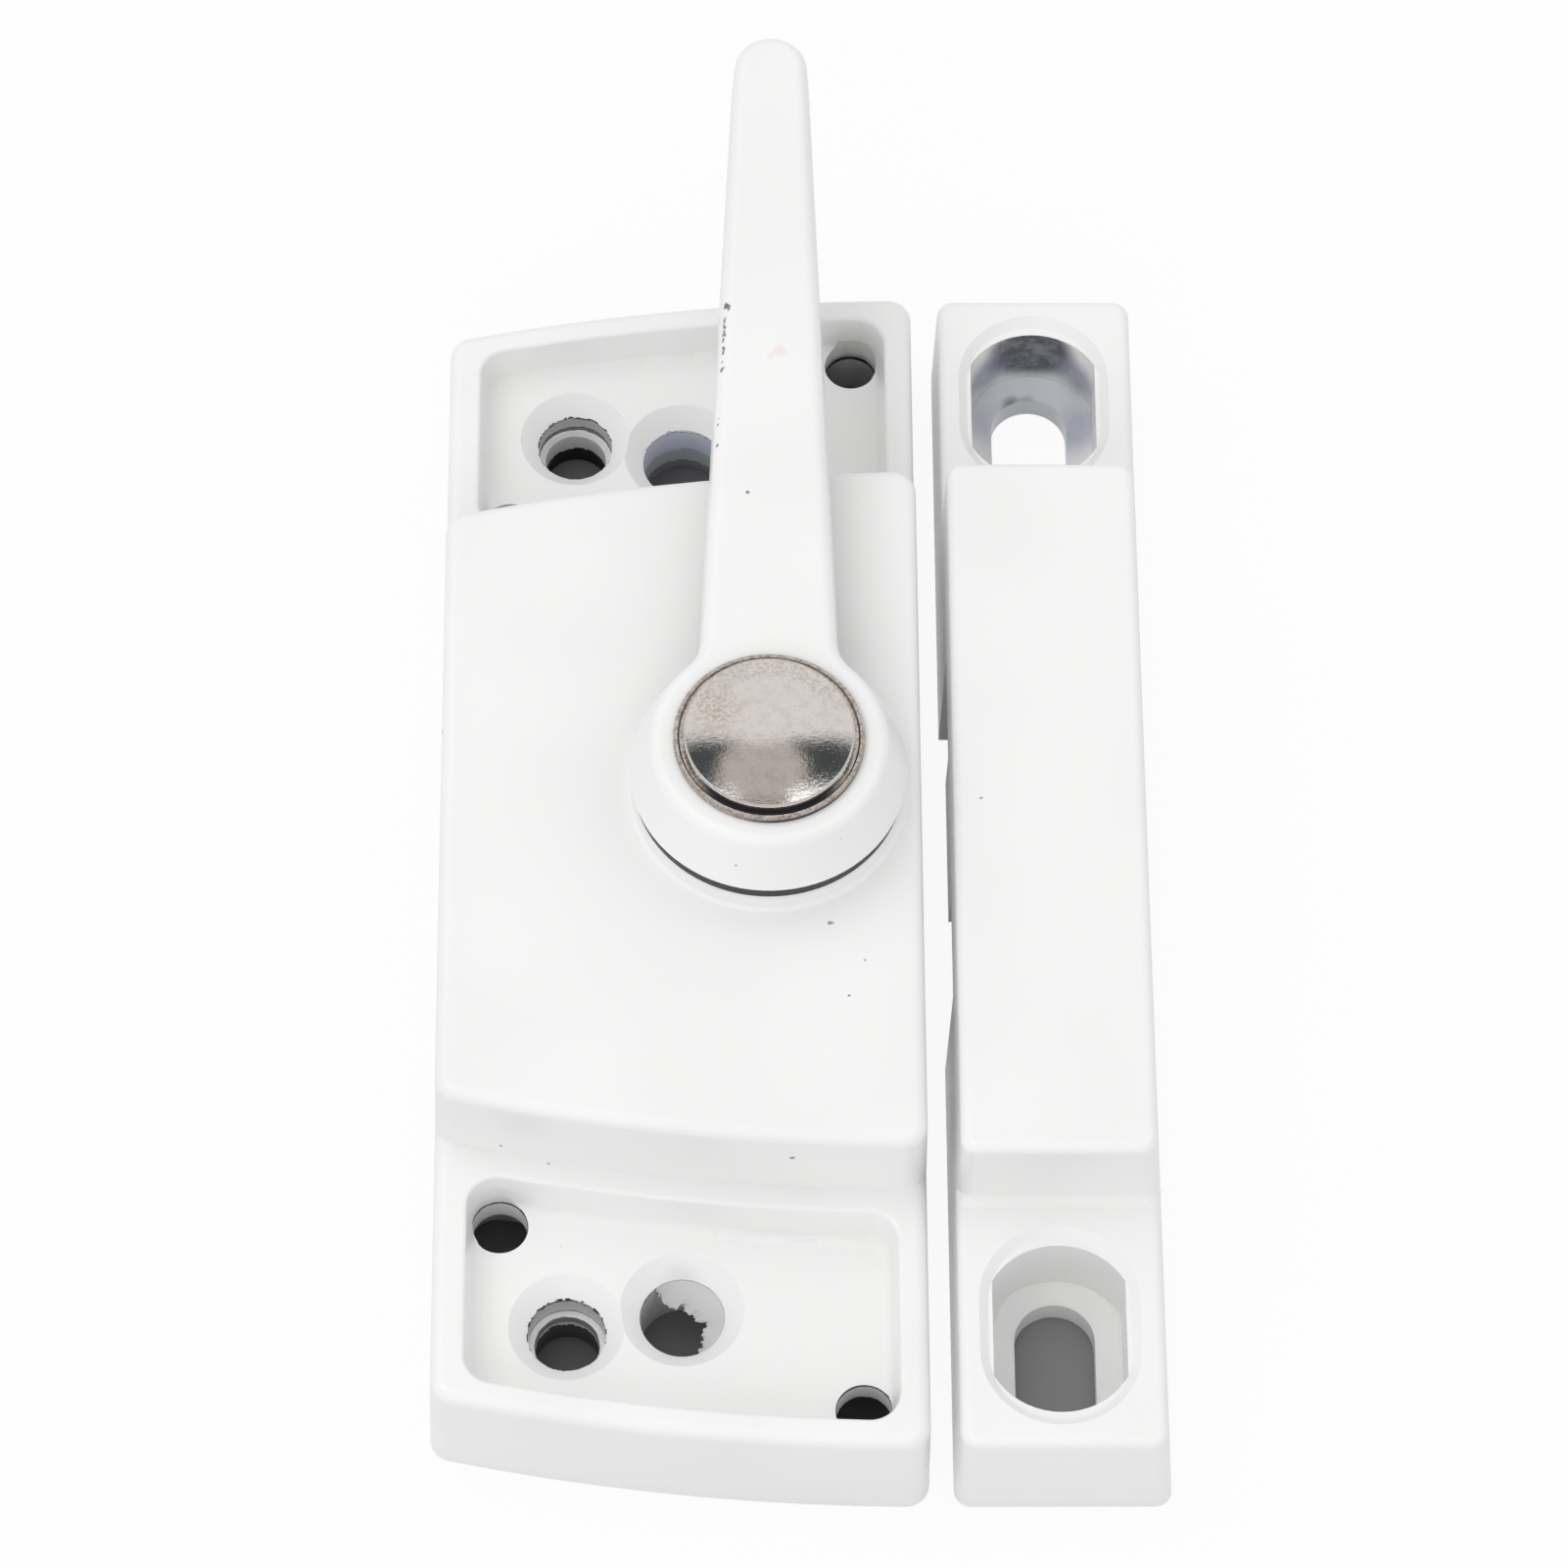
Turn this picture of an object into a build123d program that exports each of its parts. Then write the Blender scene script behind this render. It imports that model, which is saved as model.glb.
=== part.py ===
"""Sliding window lock: a lever-operated lock body and the keeper it hooks into.

Units are millimetres.  The origin is the centre of the lock body's mounting
plane, +Z points away from the sash, +Y runs up along the body and the keeper
stands on the +X side.  The lever is turned up, which is the unlocked position.
"""
import os
from math import cos, radians, sin, sqrt, tan

from build123d import *

# Lock body: one hollow zinc die casting
case_half_length = 50.0
case_top_left = -18.0
case_top_right = 18.0
left_draft = 1.6
right_draft = 0.9
end_draft = 1.5
flange_end_radius = 168.0
block_end_radius = 158.0
flange_height = 10.4
block_height = 17.8
block_half_length = 29.5
wall = 2.0
roof = 2.4
corner_round = 1.8
top_round = 1.0

# Screw pockets in the two flanges
pocket_left = -15.8
pocket_right = 16.0
pocket_block_gap = 1.5
pocket_rim = 2.3
pocket_floor = 6.8
pocket_floor_thickness = 2.0
pocket_corner = 2.3
pocket_draft = 9.0
pocket_round = 0.8
pocket_mouth_round = 0.35

# Screw holes, mirrored about the middle of the body, placed from its ends and its block
small_screw_x = -8.4
small_screw_end = 11.4
small_screw_radius = 2.9
small_screw_seat_radius = 2.4
small_screw_seat_depth = 3.4
small_sink_radius = 4.3
large_screw_x = 0.1
large_screw_end = 12.8
large_screw_radius = 3.15
large_sink_radius = 4.6
tube_wall = 1.8
clip_hole_radius = 2.05
inner_clip_x = -13.4
inner_clip_block_gap = 1.0
outer_clip_x = 13.4
outer_clip_end = 4.6

# Lever and its pivot
pivot_x = 6.5
pivot_y = 0.6
boss_radius = 10.25
boss_height = 1.7
boss_bevel = 0.3
hub_radius = 10.35
hub_top_radius = 8.7
hub_height = 4.4
arm_reach = 64.2
arm_root_half_width = 5.65
arm_tip_half_width = 3.05
arm_draft = 4.0
arm_lean = 0.45
arm_underside = 0.2
arm_root_fillet = 3.0
arm_top_round = 1.0
arm_groove_depth = 2.2
arm_groove_wall = 1.6
arm_groove_start = 14.0

# Spindle, from its domed head down
head_radius = 6.35
head_edge = 0.8
head_dome = 0.7
head_round = 0.2
spindle_square = 7.2
cam_square = 5.0
spindle_tail_radius = 2.45
cup_outer_radius = 7.1
cup_inner_radius = 6.65
cup_base = 0.3
cup_rim = 0.25
cup_bevel = 0.12
clip_thickness = 0.6
clip_outer_radius = 4.6
clip_groove_radius = 1.8
spindle_end_length = 0.5
spindle_room = 0.75

# Bearing and washers
friction_washer_inset = 0.12
friction_washer_thickness = 1.25
bush_wall = 1.5
bush_flange_radius = 7.0
bush_flange = 0.6
bearing_boss_depth = 3.2
bearing_boss_radius = 8.2
thrust_washer_radius = 6.8
thrust_washer_thickness = 0.5
cam_washer_thickness = 0.5
cam_washer_radius = 6.0
disc_spring_radius = 4.4
disc_spring_thickness = 0.35
disc_spring_height = 0.56
disc_spring_play = 0.02

# Hook cam
cam_radius = 18.6
cam_rim_inner = 16.7
cam_rim_draw = 0.65
cam_half_angle = 50.0
cam_plate = 3.0
cam_hub_radius = 9.0
cam_flat = 8.5
cam_nose_round = 0.9

# Detent spring and the pins that hold it and stop the cam
stop_pin_radius = 1.5
stop_pin_press = 1.6
spring_thickness = 0.3
spring_lift = 0.4
spring_drop = 0.2
spring_eye_clearance = 0.05
stop_pin_chamfer = 0.2

# Back plate and its screws
plate_thickness = 1.5
plate_ledge = 0.9
plate_screw_radius = 1.5
plate_screw_head = 2.8
plate_screw_length = 8.0
plate_screw_recess = 0.8
plate_screw_cross = 0.8
plate_screw_inset = 3.0
screw_boss_radius = 3.2

# Hook slot through the wall of the lock body
hook_headroom = 0.9
slot_half_length = 16.5

# Keeper: a second casting with slotted screw holes
keeper_gap = 1.8
keeper_base_width = 16.05
keeper_flange_height = 10.2
keeper_block_half_length = 30.3
keeper_left_draft = 1.0
keeper_right_draft = 4.3
keeper_end_draft = 2.2
keeper_wall = 2.0
keeper_corner = 1.3
keeper_top_round = 0.8
keeper_mouth_half_length = 14.5
lip_half_length = 6.0
lip_clearance = 0.3
lip_underside_clearance = 0.5
keeper_screw_inset = 7.62
keeper_screw_end = 10.0
keeper_rim_width = 11.8
keeper_rim_length = 16.0
keeper_rim_chamfer = 0.7
keeper_sink_width = 9.8
keeper_sink_length = 13.4
keeper_sink_end_radius = 5.6
keeper_sink_floor = 3.4
keeper_slot_floor = 2.1
keeper_cone_angle = 50.0
keeper_slot_radius = 3.0
keeper_slot_length = 10.7

# Clearances
running_clearance = 0.05
seat_clearance = 0.03
plate_clearance = 0.15
stop_clearance = 0.08

# Places that follow from the sizes above
case_base_right = case_top_right + block_height * tan(radians(right_draft))
keeper_left = case_base_right + keeper_gap
keeper_right = keeper_left + keeper_base_width
keeper_screw_x = keeper_left + keeper_screw_inset
keeper_half_length = case_half_length
keeper_screw_y = keeper_half_length - keeper_screw_end
small_screw_y = case_half_length - small_screw_end
large_screw_y = case_half_length - large_screw_end
outer_clip_y = case_half_length - outer_clip_end
inner_clip_y = block_half_length + inner_clip_block_gap
pocket_inner = block_half_length + pocket_block_gap
pocket_outer = case_half_length - pocket_rim
boss_top = block_height + boss_height
hub_bottom = boss_top + friction_washer_thickness + running_clearance
hub_top = hub_bottom + hub_height
head_seat = hub_top + cup_base
roof_bottom = block_height - roof
bearing_bottom = roof_bottom - bearing_boss_depth
bush_bottom = bearing_bottom - bush_flange
thrust_bottom = bush_bottom - thrust_washer_thickness
cam_top = thrust_bottom - running_clearance
spindle_bottom = plate_thickness + spindle_room
clip_bottom = spindle_bottom + spindle_end_length
clip_top = clip_bottom + clip_thickness
disc_spring_bottom = clip_top + disc_spring_play
washer_bottom = disc_spring_bottom + disc_spring_height + disc_spring_play
cam_bottom = washer_bottom + cam_washer_thickness
slot_top = cam_top + hook_headroom
rim_bottom = cam_bottom + cam_plate
journal_radius = spindle_square / 2
bush_inner_radius = journal_radius + running_clearance
bush_outer_radius = bush_inner_radius + bush_wall
pocket_ceiling = pocket_floor - pocket_floor_thickness
spring_bottom = rim_bottom + spring_lift
spring_top = cam_top - spring_drop
spring_y = cam_flat + seat_clearance
lip_bottom = rim_bottom + lip_underside_clearance
friction_washer_radius = boss_radius - friction_washer_inset
lip_radius = cam_rim_inner - cam_rim_draw - lip_clearance
pin_y = spring_y + spring_thickness + spring_eye_clearance + stop_pin_radius

# Drawing aids: an alignment, a size beyond the whole part, how far cuts overshoot, a tolerance
BOTTOM = (Align.CENTER, Align.CENTER, Align.MIN)
LARGE = 200.0
OVER = 1.0
NEAR = 0.01


def at_pivot(shape):
    """Move a shape drawn about the pivot axis to the pivot's place."""
    return Pos(pivot_x, pivot_y, 0) * shape


def upright(radius, low, high, x=0.0, y=0.0):
    """A vertical cylinder between two heights."""
    return Pos(x, y, low) * Cylinder(radius, high - low, align=BOTTOM)


def tube(outer, inner, low, high):
    """A vertical ring between two heights."""
    return upright(outer, low, high) - upright(inner, low - OVER, high + OVER)


def square_bar(width, low, high):
    """A vertical square bar between two heights."""
    return Pos(0, 0, low) * Box(width, width, high - low, align=BOTTOM)


def along_y(points):
    """A long prism along Y with a section drawn in X and Z."""
    section = Plane.XZ * Polygon(*points, align=None)
    return extrude(section, amount=LARGE, both=True)


def along_x(points):
    """A long prism along X with a section drawn in Y and Z."""
    section = Plane.YZ * Polygon(*points, align=None)
    return extrude(section, amount=LARGE, both=True)


def edges_at(shape, height):
    """The edges that lie flat at one height."""
    found = []
    for edge in shape.edges():
        box = edge.bounding_box()
        if abs(box.min.Z - height) < NEAR and abs(box.max.Z - height) < NEAR:
            found.append(edge)
    return found


def edges_between(shape, low, high):
    """The edges that climb from one height to another."""
    found = []
    for edge in shape.edges():
        box = edge.bounding_box()
        if abs(box.min.Z - low) < 0.05 and abs(box.max.Z - high) < 0.05:
            found.append(edge)
    return found


def case_section():
    """Section across the body, with its drafted long walls."""
    left_foot = case_top_left - block_height * tan(radians(left_draft))
    return [
        (left_foot, 0),
        (case_base_right, 0),
        (case_top_right, block_height),
        (case_top_left, block_height),
    ]


def curved_end(half_length, height, side, radius, draft=0.0):
    """The upright cylinder or cone whose wall is one bowed end of the body."""
    centre = Pos(case_top_right, side * (half_length - radius), 0)
    if draft == 0:
        return centre * upright(radius, 0, height)
    shrink = height * tan(radians(draft))
    return centre * Cone(radius, radius - shrink, height, align=BOTTOM)


def bow(x, radius):
    """How far a bowed end falls back at a place across the body."""
    return radius - sqrt(radius**2 - (case_top_right - x) ** 2)


def bowed_block(half_length, height, radius):
    """A length of the body's section between two bowed ends, with its edges rounded."""
    block = along_y(case_section()) & Box(LARGE, LARGE, height, align=BOTTOM)
    for side in (1, -1):
        block &= curved_end(half_length, height, side, radius, end_draft)
    block = fillet(edges_between(block, 0, height), corner_round)
    return fillet(edges_at(block, height), top_round)


def outer_casting():
    """The outside of the lock body before it is hollowed."""
    casting = bowed_block(case_half_length, flange_height, flange_end_radius)
    casting += bowed_block(block_half_length, block_height, block_end_radius)
    boss = upright(boss_radius, block_height - OVER, boss_top)
    boss += Pos(0, 0, block_height) * Cone(boss_radius + boss_bevel, boss_radius, boss_bevel, align=BOTTOM)
    boss = chamfer(edges_at(boss, boss_top), boss_bevel)
    return casting + at_pivot(boss)


def bowed_outline(left_x, right_x, inner, outer, side):
    """Plan of a space in a flange, whose short sides are bowed like the flange's end."""
    near = []
    far = []
    for x in (left_x, (left_x + right_x) / 2, right_x):
        fall = bow(x, flange_end_radius)
        near.append((x, side * (inner - fall)))
        far.append((x, side * (outer - fall)))
    outline = [
        ThreePointArc(*near),
        Line(near[2], far[2]),
        ThreePointArc(*far),
        Line(far[0], near[0]),
    ]
    return make_face(outline)


def flange_pocket(side):
    """The open pocket on top of a flange, wider at its mouth than at its floor."""
    depth = flange_height - pocket_floor
    lean = depth * tan(radians(pocket_draft))
    plan = bowed_outline(
        pocket_left + lean, pocket_right - lean, pocket_inner + lean, pocket_outer - lean, side
    )
    plan = fillet(plan.vertices(), pocket_corner - lean)
    pocket = extrude(Pos(0, 0, pocket_floor) * plan, amount=depth + OVER, taper=-pocket_draft)
    return fillet(edges_at(pocket, pocket_floor), pocket_round)


def pocket_mouth(case, side):
    """The top edges of one pocket, inside the flange's rim."""
    found = []
    for edge in edges_at(case, flange_height):
        box = edge.bounding_box()
        inside = pocket_left - NEAR < box.min.X and box.max.X < pocket_right + NEAR
        if inside and side * edge.center().Y > 0:
            found.append(edge)
    return found


def flange_hollow(side):
    """The space under a flange, open at the back, with a cast tube round each screw hole."""
    inner = block_half_length
    plan = bowed_outline(
        case_top_left + wall, case_top_right - wall, inner, case_half_length - wall, side
    )
    hollow = extrude(fillet(plan.vertices(), pocket_corner), amount=pocket_ceiling)
    small_tube = small_screw_radius + tube_wall
    hollow -= upright(small_tube, -OVER, pocket_floor, small_screw_x, side * small_screw_y)
    large_tube = large_screw_radius + tube_wall
    return hollow - upright(large_tube, -OVER, pocket_floor, large_screw_x, side * large_screw_y)


def countersunk_hole(radius, sink_radius):
    """A through hole with a right-angled countersink at the pocket floor."""
    sink_depth = sink_radius - radius
    hole = upright(radius, -OVER, pocket_floor + OVER)
    return hole + Pos(0, 0, pocket_floor - sink_depth) * Cone(radius, sink_radius, sink_depth, align=BOTTOM)


def stepped_hole():
    """The smaller screw hole, which narrows to a seat below the countersink."""
    seat_height = pocket_floor - small_screw_seat_depth
    upper = countersunk_hole(small_screw_radius, small_sink_radius)
    upper &= upright(small_sink_radius + OVER, seat_height, pocket_floor + OVER)
    return upper + upright(small_screw_seat_radius, -OVER, seat_height + OVER)


def flange_holes(side):
    """The four holes of one flange."""
    holes = Pos(small_screw_x, side * small_screw_y, 0) * stepped_hole()
    large = countersunk_hole(large_screw_radius, large_sink_radius)
    holes += Pos(large_screw_x, side * large_screw_y, 0) * large
    for x, y in ((inner_clip_x, inner_clip_y), (outer_clip_x, outer_clip_y)):
        holes += upright(clip_hole_radius, -OVER, pocket_floor + OVER, x, side * y)
    return holes


def block_hollow(grow, height):
    """The room inside the raised block, open at the back."""
    left_x = case_top_left + wall - grow
    right_x = case_top_right - wall + grow
    reach = block_half_length - wall + grow
    room = Box(right_x - left_x, LARGE, height, align=BOTTOM)
    room = Pos((left_x + right_x) / 2, 0, 0) * room
    for side in (1, -1):
        room &= curved_end(reach, height, side, block_end_radius)
    return fillet(edges_between(room, 0, height), corner_round)


def plate_screw_places():
    """Where the back plate's screws stand, one near each corner of the hollow."""
    reach = block_half_length - wall - plate_screw_inset
    places = []
    for x in (case_top_left + wall + plate_screw_inset, case_top_right - wall - plate_screw_inset):
        for side in (1, -1):
            places.append((x, side * (reach - bow(x, block_end_radius))))
    return places


def stop_pin_places():
    """The stop pins' distances from the pivot, so that each just clears the cam's edge."""
    edge = radians(180 - cam_half_angle)
    left = (stop_pin_radius + stop_clearance + pin_y * cos(edge)) / sin(edge)
    return (left, -left)


def hook_slot():
    """The opening in the right wall that the hook cam swings out through."""
    slot = Box(4 * wall, 2 * slot_half_length, slot_top + OVER, align=BOTTOM)
    return Pos(case_top_right, pivot_y, -OVER) * slot


def lock_case():
    """The painted casting that everything else is built into."""
    case = outer_casting()
    case -= block_hollow(0, roof_bottom)
    case -= block_hollow(plate_ledge, plate_thickness)
    case += at_pivot(upright(bearing_boss_radius, bearing_bottom, roof_bottom + roof / 2))
    for x, y in plate_screw_places():
        case += upright(screw_boss_radius, plate_thickness, roof_bottom + roof / 2, x, y)
        case -= upright(plate_screw_radius + seat_clearance, -OVER, plate_screw_length + OVER, x, y)
    for side in (1, -1):
        case -= flange_pocket(side)
        case = fillet(pocket_mouth(case, side), pocket_mouth_round)
        case -= flange_hollow(side)
        case -= flange_holes(side)
    case -= at_pivot(upright(bush_outer_radius + seat_clearance, 0, boss_top + OVER))
    for x in stop_pin_places():
        hole = upright(stop_pin_radius + seat_clearance, 0, roof_bottom + stop_pin_press, x, pin_y)
        case -= at_pivot(hole)
    return case - hook_slot()


def back_plate():
    """The pressed steel plate that closes the mechanism's room, with a tongue under the slot."""
    plate = block_hollow(plate_ledge - plate_clearance, plate_thickness)
    tongue = Box(case_top_right - pivot_x, 2 * (slot_half_length - plate_clearance), plate_thickness,
                 align=(Align.MIN, Align.CENTER, Align.MIN))
    plate += at_pivot(tongue)
    sink = plate_screw_head - plate_screw_radius
    for x, y in plate_screw_places():
        plate -= upright(plate_screw_radius + plate_clearance, -OVER, plate_thickness + OVER, x, y)
        plate -= Pos(x, y, 0) * Cone(plate_screw_head + seat_clearance,
                                     plate_screw_radius + seat_clearance, sink, align=BOTTOM)
    return plate


def plate_screw(x, y):
    """A countersunk screw with a cross recess, seated in the back plate."""
    sink = plate_screw_head - plate_screw_radius
    screw = Cone(plate_screw_head, plate_screw_radius, sink, align=BOTTOM)
    screw += upright(plate_screw_radius, sink, plate_screw_length)
    for turn in (0, 90):
        screw -= Rot(0, 0, turn) * Box(plate_screw_cross, 2 * plate_screw_radius, plate_screw_recess,
                                       align=BOTTOM)
    return Pos(x, y, 0) * screw


def bearing_bush():
    """The flanged bush pressed up into the casting's boss."""
    bush = tube(bush_outer_radius, bush_inner_radius, bearing_bottom, boss_top)
    return bush + tube(bush_flange_radius, bush_inner_radius, bush_bottom, bearing_bottom)


def friction_washer():
    """The black washer that shows as a dark line under the lever's hub."""
    top = boss_top + friction_washer_thickness
    return tube(friction_washer_radius, bush_inner_radius, boss_top, top)


def thrust_washer():
    """The steel shim between the bush and the cam."""
    return tube(thrust_washer_radius, bush_inner_radius, thrust_bottom, bush_bottom)


def stop_pin(x):
    """A dowel pressed up into the roof, which holds the spring and stops the cam."""
    pin = upright(stop_pin_radius, cam_bottom, roof_bottom + stop_pin_press, x, pin_y)
    return chamfer(edges_at(pin, cam_bottom), stop_pin_chamfer)


def detent_spring():
    """A flat spring with an eye round each pin, which presses on the cam's flat."""
    left, right = stop_pin_places()
    inner = stop_pin_radius + spring_eye_clearance
    spring = Pos(0, spring_y + spring_thickness / 2) * Rectangle(right - left, spring_thickness)
    for x, inward in ((left, 1), (right, -1)):
        eye = Circle(inner + spring_thickness) - Circle(inner)
        opening = Pos(inward * inner, inner) * Rectangle(2 * inner, 2 * inner)
        spring += Pos(x, pin_y) * (eye - opening)
    return extrude(Pos(0, 0, spring_bottom) * spring, amount=spring_top - spring_bottom)


def cam_sector():
    """Plan of the cam's blade: a pie slice that points away from the keeper at rest."""
    points = [(0, 0)]
    for turn in (-cam_half_angle, 0, cam_half_angle):
        angle = radians(180 + turn)
        points.append((2 * cam_radius * cos(angle), 2 * cam_radius * sin(angle)))
    sector = Circle(cam_radius) & Polygon(*points, align=None)
    corners = sector.vertices().sort_by_distance((0, 0, 0))[-2:]
    return fillet(corners, cam_nose_round)


def hook_cam():
    """The steel cam whose raised, spiral rim draws the keeper in."""
    blade = cam_sector()
    cam = extrude(Pos(0, 0, cam_bottom) * blade, amount=cam_plate)
    rim = blade - Pos(0, -cam_rim_draw) * Circle(cam_rim_inner)
    cam += extrude(Pos(0, 0, rim_bottom) * rim, amount=cam_top - rim_bottom)
    hub = Circle(cam_hub_radius) & Rectangle(LARGE, 2 * cam_flat)
    cam += extrude(Pos(0, 0, cam_bottom) * hub, amount=cam_top - cam_bottom)
    return cam - square_bar(cam_square + 2 * seat_clearance, cam_bottom - OVER, cam_top + OVER)


def spindle_head():
    """The domed disc that shows in the middle of the lever's hub."""
    edge_z = head_seat + head_edge
    dome_radius = (head_radius**2 + head_dome**2) / (2 * head_dome)
    dome = RadiusArc((head_radius, edge_z), (0, edge_z + head_dome), -dome_radius)
    outline = [
        Line((0, head_seat), (head_radius, head_seat)),
        Line((head_radius, head_seat), (head_radius, edge_z)),
        dome,
        Line((0, edge_z + head_dome), (0, head_seat)),
    ]
    head = revolve(Plane.XZ * make_face(outline), axis=Axis.Z)
    return fillet(edges_at(head, edge_z), head_round)


def spindle():
    """The turned and squared pin that ties the lever to the cam."""
    pin = spindle_head() + square_bar(spindle_square, hub_bottom, head_seat)
    pin += upright(journal_radius, cam_top, hub_bottom)
    pin += square_bar(cam_square, cam_bottom, cam_top)
    pin += upright(spindle_tail_radius, spindle_bottom, cam_bottom)
    return pin - tube(spindle_tail_radius + OVER, clip_groove_radius, clip_bottom, clip_top)


def cup_washer():
    """The bright ring round the domed head."""
    cup = upright(cup_outer_radius, hub_top, head_seat + cup_rim)
    cup -= upright(cup_inner_radius, head_seat, head_seat + cup_rim + OVER)
    cup = chamfer(edges_at(cup, head_seat + cup_rim), cup_bevel)
    return cup - square_bar(spindle_square + 2 * seat_clearance, hub_top - OVER, head_seat + OVER)


def cam_washer():
    """The washer between the cam and the retaining clip."""
    return tube(cam_washer_radius, spindle_tail_radius + running_clearance, washer_bottom, cam_bottom)


def disc_spring():
    """The dished washer that keeps the lever pressed on its friction washer."""
    bore = spindle_tail_radius + running_clearance
    low = disc_spring_bottom
    high = low + disc_spring_height
    profile = Polygon(
        (bore, low),
        (bore, low + disc_spring_thickness),
        (disc_spring_radius, high),
        (disc_spring_radius, high - disc_spring_thickness),
        align=None,
    )
    return revolve(Plane.XZ * profile, axis=Axis.Z)


def retaining_clip():
    """The open clip in the spindle's groove."""
    inner = clip_groove_radius + seat_clearance
    clip = tube(clip_outer_radius, inner, clip_bottom, clip_top)
    mouth = Box(2 * clip_outer_radius, 2 * inner - clip_thickness, 4 * clip_thickness)
    return clip - Pos(clip_outer_radius, 0, clip_bottom) * mouth


def arm_plan(inset=0.0):
    """Plan of the lever's arm, which narrows from the hub to a round tip."""
    tip = Pos(0, arm_reach - arm_tip_half_width) * Circle(arm_tip_half_width - inset)
    root_half_width = arm_root_half_width - inset
    root = Line((-root_half_width, 0), (root_half_width, 0))
    return make_hull(tip.edges() + [root])


def lever_hub():
    """The round hub, which narrows towards its top."""
    profile = Polygon((0, hub_bottom), (hub_radius, hub_bottom), (hub_top_radius, hub_top), (0, hub_top),
                      align=None)
    return revolve(Plane.XZ * profile, axis=Axis.Z)


def lever_handle():
    """The painted casting that the hand turns."""
    arm_bottom = hub_bottom + arm_underside
    inset = (hub_top - arm_bottom) * tan(radians(arm_draft))
    arm = loft([Pos(0, 0, arm_bottom) * arm_plan(), Pos(0, 0, hub_top) * arm_plan(inset)])
    lever = lever_hub() + arm
    corners = [edge for edge in edges_between(lever, arm_bottom, hub_top)
               if abs(edge.center().X) > arm_tip_half_width and edge.center().Y < hub_radius]
    lever = fillet(corners, arm_root_fillet)
    lever = fillet(edges_at(lever, hub_top), arm_top_round)
    groove = offset(arm_plan(), -arm_groove_wall) & Pos(0, arm_groove_start) * Rectangle(
        LARGE, LARGE, align=(Align.CENTER, Align.MIN))
    lever -= extrude(Pos(0, 0, arm_bottom - OVER) * groove, amount=arm_groove_depth + OVER)
    lever = Rot(0, 0, -arm_lean) * lever
    return lever - square_bar(spindle_square + 2 * seat_clearance, hub_bottom - OVER, hub_top + OVER)


def keeper_body():
    """The outside of the keeper: a section along Y met by a stepped side view."""
    left_lean = block_height * tan(radians(keeper_left_draft))
    right_lean = block_height * tan(radians(keeper_right_draft))
    body = along_y([
        (keeper_left, 0),
        (keeper_right, 0),
        (keeper_right - right_lean, block_height),
        (keeper_left + left_lean, block_height),
    ])
    slope = tan(radians(keeper_end_draft))
    shoulder = keeper_block_half_length - keeper_flange_height * slope
    side_view = [
        (keeper_half_length, 0),
        (keeper_half_length - keeper_flange_height * slope, keeper_flange_height),
        (shoulder, keeper_flange_height),
        (keeper_block_half_length - block_height * slope, block_height),
    ]
    body &= along_x(side_view + [(-y, z) for y, z in reversed(side_view)])
    body = fillet(edges_between(body, 0, keeper_flange_height), keeper_corner)
    body = fillet(edges_between(body, keeper_flange_height, block_height), keeper_corner)
    return fillet(edges_at(body, block_height) + keeper_flange_rim(body), keeper_top_round)


def keeper_flange_rim(body):
    """The outer top edges of the keeper's flanges, without the block's foot."""
    return [edge for edge in edges_at(body, keeper_flange_height)
            if edge.bounding_box().max.Y - edge.bounding_box().min.Y > 0.2
            or abs(edge.center().Y) > keeper_block_half_length + 1]


def keeper_screw_slot():
    """The stepped space of one slotted screw hole."""
    rim_bottom_z = keeper_flange_height - keeper_rim_chamfer
    rim_plan = Rot(0, 0, 90) * SlotOverall(keeper_rim_length - 2 * keeper_rim_chamfer,
                                           keeper_rim_width - 2 * keeper_rim_chamfer)
    space = extrude(Pos(0, 0, rim_bottom_z) * rim_plan, amount=keeper_rim_chamfer, taper=-45)
    spread = keeper_sink_length / 2 - keeper_sink_end_radius
    sink = Rectangle(keeper_sink_width, 2 * spread)
    for side in (1, -1):
        sink += Pos(0, side * spread) * Circle(keeper_sink_end_radius)
    sink &= Rectangle(keeper_sink_width, LARGE)
    space += extrude(Pos(0, 0, keeper_sink_floor) * sink, amount=rim_bottom_z - keeper_sink_floor)
    slot = Rot(0, 0, 90) * SlotOverall(keeper_slot_length, 2 * keeper_slot_radius)
    cone_height = keeper_sink_floor - keeper_slot_floor
    space += extrude(Pos(0, 0, keeper_slot_floor) * slot, amount=cone_height, taper=-keeper_cone_angle)
    return space + extrude(Pos(0, 0, -OVER) * slot, amount=keeper_sink_floor + OVER)


def keeper_hollow():
    """The room in the keeper that the cam turns into, open at the back."""
    left_x = keeper_left + block_height * tan(radians(keeper_left_draft)) + keeper_wall
    right_x = keeper_right - block_height * tan(radians(keeper_right_draft)) - keeper_wall
    reach = keeper_block_half_length - keeper_wall
    room = Box(right_x - left_x, 2 * reach, roof_bottom, align=BOTTOM)
    return Pos((left_x + right_x) / 2, 0, 0) * fillet(edges_between(room, 0, roof_bottom), keeper_corner)


def keeper_mouth():
    """The opening that the cam enters, leaving a curved lip for its rim to draw on."""
    mouth = Box(2 * (keeper_wall + OVER), 2 * keeper_mouth_half_length, slot_top + OVER, align=BOTTOM)
    mouth = Pos(keeper_left + OVER, pivot_y, -OVER) * mouth
    lip = at_pivot(upright(lip_radius, lip_bottom, slot_top + OVER))
    lip &= Pos(keeper_left, pivot_y, lip_bottom) * Box(4 * keeper_wall, 2 * lip_half_length, LARGE,
                                                     align=BOTTOM)
    return mouth - lip


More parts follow.
